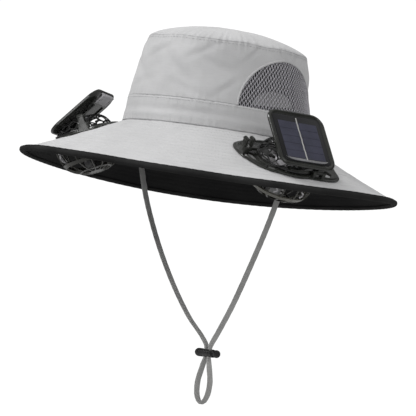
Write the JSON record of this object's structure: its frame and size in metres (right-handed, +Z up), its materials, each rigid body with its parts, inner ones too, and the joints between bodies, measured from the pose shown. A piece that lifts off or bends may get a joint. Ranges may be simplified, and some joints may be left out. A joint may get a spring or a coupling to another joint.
{
  "type": "solar fan hat",
  "caption": "Wide-brimmed cloth sun hat with mesh sides, a fan unit under a tilting solar panel on each side of the brim, and a chin cord with a sprung lock.",
  "frame": {"origin": "middle of the head opening, level with the seam between crown and brim, where a head carries the hat", "axes": "+Z up through the crown, the hat's front faces -Y, the wearer's left is +X"},
  "size_m": [0.364, 0.3879, 0.3676],
  "materials": {
    "grey_cloth": "light grey plain-woven quick-dry cloth",
    "dark_cloth": "black woven cloth, stitched in rings",
    "net": "open knitted net",
    "black_plastic": "satin moulded plastic",
    "smoky_plastic": "clear smoky moulded plastic",
    "motor_metal": "drawn steel can",
    "steel": "plain pin",
    "solar_glass": "glossy coated silicon cell",
    "grey_cord": "flat woven cord"
  },
  "bodies": {
    "root": {"crown_top": "grey_cloth", "crown_side": "grey_cloth", "crown_band": "grey_cloth", "brim_top": "grey_cloth", "brim_underside": "dark_cloth", "brim_binding": "dark_cloth", "chin_cord": "grey_cord", "cord_lock_barrel": "black_plastic", "mesh_panel_left": "net", "cord_tab_left": "dark_cloth", "fan_frame_left": "black_plastic", "fan_grille_left": "black_plastic", "fan_motor_left": "motor_metal", "lower_guard_left": "smoky_plastic", "hinge_pin_left": "steel", "mesh_panel_right": "net", "cord_tab_right": "dark_cloth", "fan_frame_right": "black_plastic", "fan_grille_right": "black_plastic", "fan_motor_right": "motor_metal", "lower_guard_right": "smoky_plastic", "hinge_pin_right": "steel"},
    "fan_left": {"fan_impeller_left": "smoky_plastic"},
    "fan_right": {"fan_impeller_right": "smoky_plastic"},
    "panel_left": {"solar_frame_left": "black_plastic", "solar_cell_left": "solar_glass"},
    "panel_right": {"solar_frame_right": "black_plastic", "solar_cell_right": "solar_glass"},
    "lock_plunger": {"cord_lock_plunger": "black_plastic"}
  },
  "joints": [
    {"name": "fan_spin_left", "type": "hinge", "parent": "root", "child": "fan_left", "pos_m": [0.13013, -0.05009, -0.02582], "axis": [0.4432, -0.1446, 0.8847], "continuous": true},
    {"name": "panel_tilt_left", "type": "hinge", "parent": "root", "child": "panel_left", "pos_m": [0.15676, -0.04962, -0.03118], "axis": [0.286, 0.9581, 0.0128], "range_deg": [0, 55]},
    {"name": "fan_spin_right", "type": "hinge", "parent": "root", "child": "fan_right", "pos_m": [-0.11248, -0.06397, -0.01856], "axis": [-0.3844, -0.1636, 0.9085], "continuous": true},
    {"name": "panel_tilt_right", "type": "hinge", "parent": "root", "child": "panel_right", "pos_m": [-0.13914, -0.06714, -0.02271], "axis": [0.4071, -0.9133, 0.0083], "range_deg": [0, 55]},
    {"name": "lock_press", "type": "slide", "parent": "root", "child": "lock_plunger", "axis": [-1, 0, 0], "range_m": [0, 0.0028], "stiffness_N_per_m": 400, "springref_m": -0.003}
  ]
}
